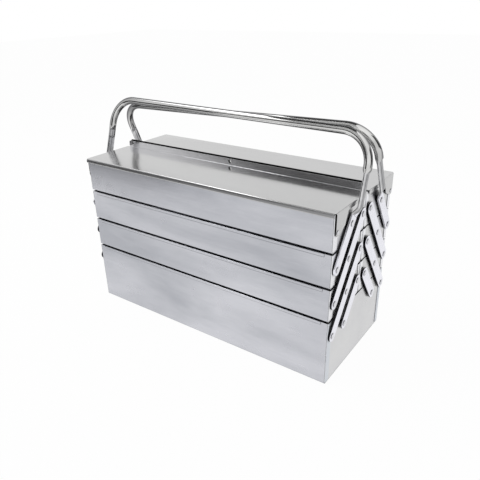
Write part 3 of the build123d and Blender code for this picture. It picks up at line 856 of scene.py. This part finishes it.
def build_link(node, body):
    low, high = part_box(node)
    inset = LINK_WIDTH / 2
    foot, head = low.z + inset, high.z - inset
    outer, inner = low.y + inset, high.y - inset
    if low.y + high.y > 0:
        outer, inner = inner, outer
    first, last = (outer, foot), (inner, head)
    holes = [circle(pivot, RIVET_HOLE) for pivot in (first, last)]
    if "short" not in node:
        holes.append(circle(((outer + inner) / 2, (foot + head) / 2), PASSING_HOLE))
    mesh = bmesh.new()
    extruded(mesh, bar_outline(first, last, LINK_WIDTH), (low.x, high.x), along_x, BAR_EDGE, holes)
    # sheared edges: darker steel, painted nearly black as the shade beside the bar
    edge = [(SHEARED_EDGE_AND_SHADE, on_bar_edge)]
    return finish_piece(mesh, f"{node}_bar", LINK_ZINC, body, "link_bars", node, elsewhere=edge)


def on_bar_edge(face, _):
    """True for the sheared edge of a bar and for the walls of its holes."""
    return abs(face.normal.x) < 0.9


links = []
for side in SIDES:
    for kind in ("short", "long", "upper"):
        for end in ENDS:
            links.append(build_link(f"{side}_{kind}_link_{end}", f"{side}_{kind}_links"))
print("links built:", len(links))

# %% [markdown]
# ## Handles
# A handle is one length of tube. Its ends are pressed flat, set outward past the lid in a short
# joggle, and drilled to turn on the trays like the links. Where the press stopped, the tube
# swells out of the flat between two slanted facets. The mesh is a run of rings: each ring is a
# mix of a round section and a flat one of the same girth, so no metal is gained or lost. The
# tube's wall never folds quite shut, so a bead stays along both edges of the pressed leg, and
# the groove between the beads is painted dark as shade.

# %% Sizes of the handles
TUBE = 13.5 * MM
FLAT_WIDTH = 19 * MM
FLAT_THICKNESS = 3 * MM
GRIP_BEND = 50 * MM
JOGGLE_START = 12 * MM
JOGGLE_LENGTH = 16 * MM
LEG_OUT = 277 * MM
CRIMP_LENGTH = 11 * MM
CRIMP_GAP = 2 * MM
GRIP_OUT = 7.4 * MM
LEG_SHIFT = 3 * MM  # both legs' feet are bent this far to the left
GRIP_HEIGHT = {"front": {-1: 404.0 * MM, 1: 398.6 * MM}, "rear": {-1: 389.6 * MM, 1: 403.4 * MM}}
LEAN = {"front": {-1: 1.0 * MM, 1: 2.5 * MM}, "rear": {-1: 4.5 * MM, 1: 6.5 * MM}}
PIVOT_INNER = 15 * MM
PIVOT_STEP = 43.5 * MM
TRAY_PITCH = 60 * MM
PIVOT_FOOT = 93 * MM
ALONG_BOX = Vector((1, 0, 0))
PRESSED_EDGE = 0.7 * MM  # the flat's rounded edge
RING = 48  # points in one ring; below, rings along each part
JOGGLE_RINGS, CRIMP_RINGS, BEND_RINGS = 8, 16, 16
BEAD = 0.7  # a folded edge is this much thicker than the flat's middle
BEAD_NARROWS = 0.2  # and the flat is this much narrower there
GROOVE = (0, 1, RING - 1, RING // 2, RING // 2 + 1)  # faces down the middle of a pressed leg
PIVOTS = [PIVOT_INNER + PIVOT_STEP * k for k in range(3)]
PIVOT_Z = [PIVOT_FOOT + TRAY_PITCH * k for k in range(4)]
print("pivots stand", [round(y / MM, 1) for y in PIVOTS], "mm from the middle plane")


# %% Rings of the tube
def eased(share):
    """Runs from 0 to 1 like its share, but starts and ends slowly."""
    return share * share * (3 - 2 * share)


def round_ring(step):
    angle = 2 * math.pi * step / RING
    return Vector((math.cos(angle), math.sin(angle))) * TUBE / 2


def flat_ring(step):
    """A point of the pressed section, as far round its girth as the same point of the tube."""
    if step >= RING // 2:
        return -flat_ring(step - RING // 2)
    half = FLAT_THICKNESS / 2
    straight = FLAT_WIDTH / 2 - half
    half_girth = 2 * straight + math.pi * half
    walked = half_girth * step / (RING // 2)
    if walked < straight:
        return Vector((half, walked))
    if half_girth - walked < straight:
        return Vector((-half, half_girth - walked))
    angle = (walked - straight) / half
    return Vector((half * math.cos(angle), straight + half * math.sin(angle)))


def pressed_ring(step, press):
    """Between the round tube (0) and the flat (1): the press cuts in as a flat facet."""
    tube, flat = round_ring(step), flat_ring(step)
    room = FLAT_THICKNESS / 2 + (TUBE / 2 - FLAT_THICKNESS / 2) * math.cos(press * math.pi / 2)
    clipped = max(-room, min(room, tube.x))
    across = clipped + (flat.x - clipped) * press**3
    return Vector((across, tube.y + (flat.y - tube.y) * eased(press)))


def add_ring(mesh, centre, across, along, press, bead=0.0):
    """One ring; across is the tube's side that the press closes, along its other side.

    bead is how far the folded edges of the flat stay open: 0 is closed, 1 fully beaded.
    """
    ring = []
    narrow = 1 - BEAD_NARROWS * bead
    for step in range(RING):
        point = pressed_ring(step, press)
        to_edge = min(1.0, abs(point.y) / (FLAT_WIDTH / 2))
        swell = 1 + BEAD * bead * to_edge**4
        ring.append(mesh.verts.new(centre + across * point.x * swell + along * point.y * narrow))
    return ring


print("a ring has", RING, "points")


# %% Build the handles
def handle_route(side):
    """The way of the legs in their own plane, and the corner where each leg meets the grip."""
    sign = SIDES[side]
    link_turn = math.atan2(PIVOT_STEP, TRAY_PITCH)
    link_way = Vector((0, -sign * math.sin(link_turn), math.cos(link_turn)))
    upper = Vector((0, sign * PIVOTS[1], PIVOT_Z[3]))
    start = upper + link_way * (JOGGLE_START + JOGGLE_LENGTH / 2)
    heights = GRIP_HEIGHT[side]
    rise = (Vector((0, sign * GRIP_OUT, max(heights.values()))) - start).normalized()
    legs = {}
    for way in (1, -1):
        foot = start + rise * (JOGGLE_LENGTH / 2)
        foot.x = way * LEG_OUT - LEG_SHIFT
        corner = start + rise * ((heights[way] - start.z) / rise.z)
        corner.x = foot.x - LEAN[side][way]
        legs[way] = (foot, corner)
    return upper, link_way, rise, legs


def build_handle(side):
    sign = SIDES[side]
    lower = Vector((0, sign * PIVOTS[2], PIVOT_Z[2]))
    upper, link_way, rise, legs = handle_route(side)
    plate_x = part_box(f"{side}_upper_link_right")[0].x + FLAT_THICKNESS / 2
    plane_normal = ALONG_BOX.cross(rise)
    grip_way = (legs[-1][1] - legs[1][1]).normalized()
    knee = upper + link_way * JOGGLE_START
    elbow = upper + link_way * (JOGGLE_START + JOGGLE_LENGTH / 2)
    mesh = bmesh.new()
    stations, crimp_middle = {}, {}
    for way in (1, -1):
        foot, corner = legs[way]
        leg_way = (corner - foot).normalized()
        turn = leg_way.angle(grip_way * way)
        crimp_top = corner - leg_way * (GRIP_BEND * math.tan(turn / 2) + CRIMP_GAP)
        crimp_middle[way] = crimp_top.z - leg_way.z * CRIMP_LENGTH / 2
        start = knee + ALONG_BOX * way * plate_x
        stations[way] = []
        for step in range(JOGGLE_RINGS + 1):
            share = step / JOGGLE_RINGS
            ease = eased(share)
            place = start.lerp(elbow, share).lerp(elbow.lerp(foot, share), share)
            place.x = start.x + (foot.x - start.x) * ease
            stations[way].append((place, link_way.lerp(leg_way, ease).normalized(), 1.0, ease))
        for step in range(CRIMP_RINGS + 1):
            share = step / CRIMP_RINGS
            place = crimp_top - leg_way * (CRIMP_LENGTH * (1 - share))
            stations[way].append((place, leg_way, 1.0 - share, 1.0 - share))
    rings = []

    def skin_leg(way):
        for place, heading, press, bead in stations[way][::way]:
            sideways = way * heading.cross(ALONG_BOX.cross(heading)).normalized()
            along = way * sideways.cross(heading)
            rings.append(add_ring(mesh, place, sideways, along, press, bead))

    skin_leg(1)
    leaving = {1: grip_way, -1: -stations[-1][-1][1]}
    arriving = {1: stations[1][-1][1], -1: grip_way}
    for way in (1, -1):
        corner = legs[way][1]
        half = math.acos(max(-1, min(1, -arriving[way].dot(leaving[way])))) / 2
        centre = corner + (leaving[way] - arriving[way]).normalized() * (GRIP_BEND / math.sin(half))
        start = corner - arriving[way] * (GRIP_BEND / math.tan(half)) - centre
        axis = start.cross(arriving[way]).normalized()
        for step in range(BEND_RINGS + 1):
            spin = Matrix.Rotation((math.pi - 2 * half) * step / BEND_RINGS, 3, axis)
            heading = spin @ arriving[way]
            across = heading.cross(plane_normal)
            rings.append(add_ring(mesh, centre + spin @ start, across, plane_normal, 0.0))
    skin_leg(-1)
    bridge(mesh, rings)
    mesh.faces.index_update()
    tube_faces = len(mesh.faces)
    mesh.faces.new(rings[0])
    mesh.faces.new(rings[-1])
    outline = bar_outline(lower.yz, knee.yz, FLAT_WIDTH)
    keep = len(outline) // 2
    outline = outline[keep:] + [outline[0], outline[keep - 1]]
    holes = [circle(lower.yz, RIVET_HOLE), circle(upper.yz, PASSING_HOLE)]
    for way in (1, -1):
        plate = (way * (plate_x - FLAT_THICKNESS / 2), way * (plate_x + FLAT_THICKNESS / 2))
        extruded(mesh, outline, plate, along_x, PRESSED_EDGE, holes)

    def pressed_flat(_, place):
        return place.z < crimp_middle[1 if place.x > 0 else -1]

    # the groove down a pressed leg is painted dark, standing in for its shade
    def in_groove(face, place):
        in_middle = 0 <= face.index < tube_faces and face.index % RING in GROOVE
        return in_middle and pressed_flat(face, place)

    def on_plate(_, place):
        return place.z < upper.z + JOGGLE_START

    return finish_piece(
        mesh, f"{side}_handle_tube", TUBE_POLISH, f"{side}_handle", "handle_tube", f"{side}_handle",
        elsewhere=[(PRESSED_TUBE, pressed_flat), (PAINTED_SHADE_LINE, in_groove), (LINK_ZINC, on_plate)],
    )


for side in SIDES:
    handle = build_handle(side)
    print(handle.name, len(handle.data.polygons), "faces")

# %% [markdown]
# ## Rivets
# Every pivot is a solid rivet: a low dome outside, a shank through the bars, and a tail hammered
# flat inside the wall. A lathe shape does it: one profile turned about the rivet's own axis.
# The riveting tool leaves a small flat on the dome and a shallow ring round it.

# %% Shape of the rivets
LINK_RIVET = {"shank": 2.5 * MM, "head": 4.8 * MM, "crown": 1.7 * MM, "tail": 4.0 * MM}
HINGE_RIVET = {"shank": 2.0 * MM, "head": 3.8 * MM, "crown": 1.2 * MM, "tail": 3.8 * MM}
TAIL_THICKNESS = 1.4 * MM
TOOL_MARK = ((0.26, 0.97), (0.31, 0.93), (0.36, 0.96))  # shares of the head and of the crown
DOME_STEPS = 7
PLATE_BACK = PLATE_FACE - SHEET
RIVET_TURNS = 32


def rivet_profile(sizes, seat, tail_end):
    """Distance from the axis and place along it, from the dome's middle to the tail's middle."""
    head, crown, shank, tail = (sizes[key] for key in ("head", "crown", "shank", "tail"))
    dome = [(0.0, seat + crown * 0.97)]
    for share, rise in TOOL_MARK:
        dome.append((head * share, seat + crown * rise))
    for step in range(1, DOME_STEPS + 1):
        angle = math.radians(68 - 62 * step / DOME_STEPS)
        dome.append((head * math.cos(angle), seat + crown * (0.3 + 0.7 * math.sin(angle))))
    return dome + [
        (head, seat + crown * 0.12),
        (head * 0.97, seat),
        (shank, seat),
        (shank, tail_end + TAIL_THICKNESS),
        (tail * 0.96, tail_end + TAIL_THICKNESS),
        (tail, tail_end + TAIL_THICKNESS * 0.7),
        (tail, tail_end + TAIL_THICKNESS * 0.3),
        (tail * 0.92, tail_end),
        (tail * 0.4, tail_end),
        (tail * 0.3, tail_end + 0.25 * MM),
        (0.0, tail_end + 0.3 * MM),
    ]


def add_rivet(mesh, sizes, seat, y, z, way):
    """Turns the profile about the rivet's axis."""
    rings = []
    for radius, x in rivet_profile(sizes, seat, PLATE_BACK - TAIL_THICKNESS):
        points = arc((y, z), radius, 0, 360, RIVET_TURNS)[:-1] if radius else [(y, z)]
        rings.append([mesh.verts.new((way * x, *point)) for point in points])
    for lower, upper in zip(rings, rings[1:]):
        for index in range(RIVET_TURNS):
            corners = [lower[index - 1], lower[index]] if len(lower) > 1 else lower[:]
            corners += [upper[index], upper[index - 1]] if len(upper) > 1 else upper[:]
            mesh.faces.new(corners)


print("a link's rivet has a head", 2 * LINK_RIVET["head"] / MM, "mm wide")


# %% Build the rivets
def build_rivets(node, body, rivets):
    """One piece per CAD node: the same rivets at both ends of the box."""
    mesh = bmesh.new()
    for sizes, seat, y, z in rivets:
        for way in ENDS.values():
            add_rivet(mesh, sizes, seat, y, z, way)
    return finish_piece(mesh, f"{node}_set", RIVET_ZINC, body, "rivets", node)


LINK_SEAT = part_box("base_rivets")[1].x - LINK_RIVET["crown"]
HANDLE_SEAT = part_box("front_middle_tray_rivets")[1].x - LINK_RIVET["crown"]
HINGE_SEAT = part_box("front_lid_hinge_rivets")[1].x - HINGE_RIVET["crown"]
places = [(LINK_RIVET, LINK_SEAT, way * y, PIVOT_Z[0]) for y in PIVOTS[1:] for way in (1, -1)]
sets = [build_rivets("base_rivets", "base", places)]
seats = {
    "lower": [LINK_SEAT, LINK_SEAT, LINK_SEAT],
    "middle": [LINK_SEAT, LINK_SEAT, HANDLE_SEAT],
    "top": [LINK_SEAT, HANDLE_SEAT],
}
for side, sign in SIDES.items():
    for height, row in zip(PIVOT_Z[1:], ROWS):
        places = [(LINK_RIVET, seat, sign * y, height) for seat, y in zip(seats[row], PIVOTS)]
        sets.append(build_rivets(f"{side}_{row}_tray_rivets", f"{side}_{row}_tray", places))
    hinge = [(HINGE_RIVET, HINGE_SEAT, sign * HINGE_Y, HINGE_Z)]
    sets.append(build_rivets(f"{side}_lid_hinge_rivets", f"{side}_top_tray", hinge))
print("rivet sets built:", len(sets))

# %% [markdown]
# ## Pieces that stay as CAD made them
# The flat end walls and the spacer rings already have their right shape, so the CAD nodes stay
# in sight. They only get a finish.

# %% Dress the CAD nodes
dressed = 0
for name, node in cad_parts.items():
    if node.hide_render:
        continue
    node.data.materials.clear()
    node.data.materials.append(RIVET_ZINC if "spacers" in name else END_ZINC)
    dressed += 1
print("CAD nodes dressed:", dressed)

# %% [markdown]
# ## Stage and light
# Bare metal shows what stands round it, so the stage is half of the finish. The floor and the
# sky are white to the camera and in every reflection, as in a white studio. One soft lamp hangs
# above, a little to the left. Six cards stand out of sight, as in a product studio: they only
# exist in reflections. The two dark ones in front draw the streaks on the tubes and darken the
# flange, the one at the right shades the bends and the one overhead darkens the tubes' tops. Two
# pale ones, high in front, make the right half of the grips greyer than the left.

# %% Floor
def white_to_viewers(tree, plain_shader, share):
    """Mixes a shader with white light for camera, glossy and transmission rays."""
    rays = add_node(tree, "LightPath").outputs
    seen = maths(tree, "MAXIMUM", rays["Is Camera Ray"], rays["Is Glossy Ray"])
    seen_too = maths(tree, "MAXIMUM", seen, rays["Is Transmission Ray"])
    part = maths(tree, "MULTIPLY", seen_too, share)
    white = add_node(tree, "Emission", inputs={"Color": (1, 1, 1, 1), "Strength": 1.0})
    shaders = {"Fac": part, 1: plain_shader, 2: white.outputs[0]}
    return add_node(tree, "MixShader", inputs=shaders).outputs[0]


def plain_paint(name, tone, **others):
    """A material of one grey tone, without any pattern."""
    material = bpy.data.materials.new(name)
    material.use_nodes = True
    shader = material.node_tree.nodes["Principled BSDF"]
    fill(shader, {"Base Color": (tone, tone, tone, 1), **others})
    return material, shader.outputs[0]


def slab(name, centre, size, turn, material):
    """A flat card or floor: a grid of one face, as large as asked, turned about its middle."""
    mesh = bmesh.new()
    x, y = size[0] / 2, size[1] / 2
    corners = [(-x, -y, 0), (x, -y, 0), (x, y, 0), (-x, y, 0)]
    mesh.faces.new([mesh.verts.new(corner) for corner in corners])
    made = object_from(mesh, name, centre)
    made.data.materials.append(material)
    made.rotation_euler = [math.radians(angle) for angle in turn]
    made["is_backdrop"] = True
    return made


FLOOR_WHITE = 0.97  # share of pure white; the rest is plain floor, which keeps the shadow
FLOOR_DROP = 0.1 * MM
dull = {"Roughness": 0.9, "Specular IOR Level": 0.0}
floor_white, floor_shader = plain_paint("floor white", 0.92, **dull)
floor_tree = floor_white.node_tree
surface = white_to_viewers(floor_tree, floor_shader, FLOOR_WHITE)
fill(floor_tree.nodes["Material Output"], {"Surface": surface})
slab("floor", (0, 0, -FLOOR_DROP), (16, 16), (0, 0, 0), floor_white)
print("the floor lies", FLOOR_DROP / MM, "mm under the box")

# %% Sky and lamp
SKY_LEVEL = 0.55
world = bpy.data.worlds.new("studio sky")
bpy.context.scene.world = world
world.use_nodes = True
sky_tree = world.node_tree
sky = sky_tree.nodes["Background"]
fill(sky, {"Color": (1, 1, 1, 1), "Strength": SKY_LEVEL})
surface = white_to_viewers(sky_tree, sky.outputs[0], 1.0)
fill(sky_tree.nodes["World Output"], {"Surface": surface})
lamp_data = bpy.data.lights.new("soft lamp", "AREA")
lamp_data.shape = "RECTANGLE"
lamp_data.size = 1.6
lamp_data.size_y = 1.0
lamp_data.energy = 16
lamp = add_object("soft lamp", lamp_data, (-0.9, -0.5, 2.0))
lamp.rotation_euler = (-lamp.location).to_track_quat("-Z", "Y").to_euler()
print("the lamp hangs", round(lamp.location.z, 2), "m up")

# %% Cards that exist only in reflections
card_black, _ = plain_paint("card black", 0.1, Roughness=1.0)
card_pale, _ = plain_paint("card pale", 0.8, Roughness=1.0)
UPRIGHT = (90, 0, 0)
cards = [
    slab("card_front", (-0.65, -0.75, 0.42), (1.5, 0.32), (90, -20, 0), card_black),
    slab("card_low", (-1.2, -0.72, 0.2), (1.2, 0.4), UPRIGHT, card_black),
    slab("card_right", (1.3, 0.45, 0.8), (1.1, 0.9), (90, 0, 90), card_black),
    slab("card_top", (-0.05, 0.15, 1.2), (0.7, 0.9), (0, 0, 0), card_black),
    slab("card_high", (0.0, -0.6, 1.05), (0.7, 0.8), UPRIGHT, card_pale),
    slab("card_roof", (-0.05, -0.75, 1.19), (0.8, 0.9), (0, 0, 0), card_pale),
]
for card in cards:
    for sight in ("camera", "diffuse", "shadow", "transmission", "volume_scatter"):
        setattr(card, f"visible_{sight}", False)
print("cards:", len(cards))

# %% [markdown]
# ## Last measure
# The dressed box is measured against the CAD box, and how much it grew is printed.

# %% Finish
seen_low, seen_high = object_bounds()
growth = (seen_high - seen_low) - (cad_high - cad_low)
print("grown by", [round(part / MM, 2) for part in growth], "mm")
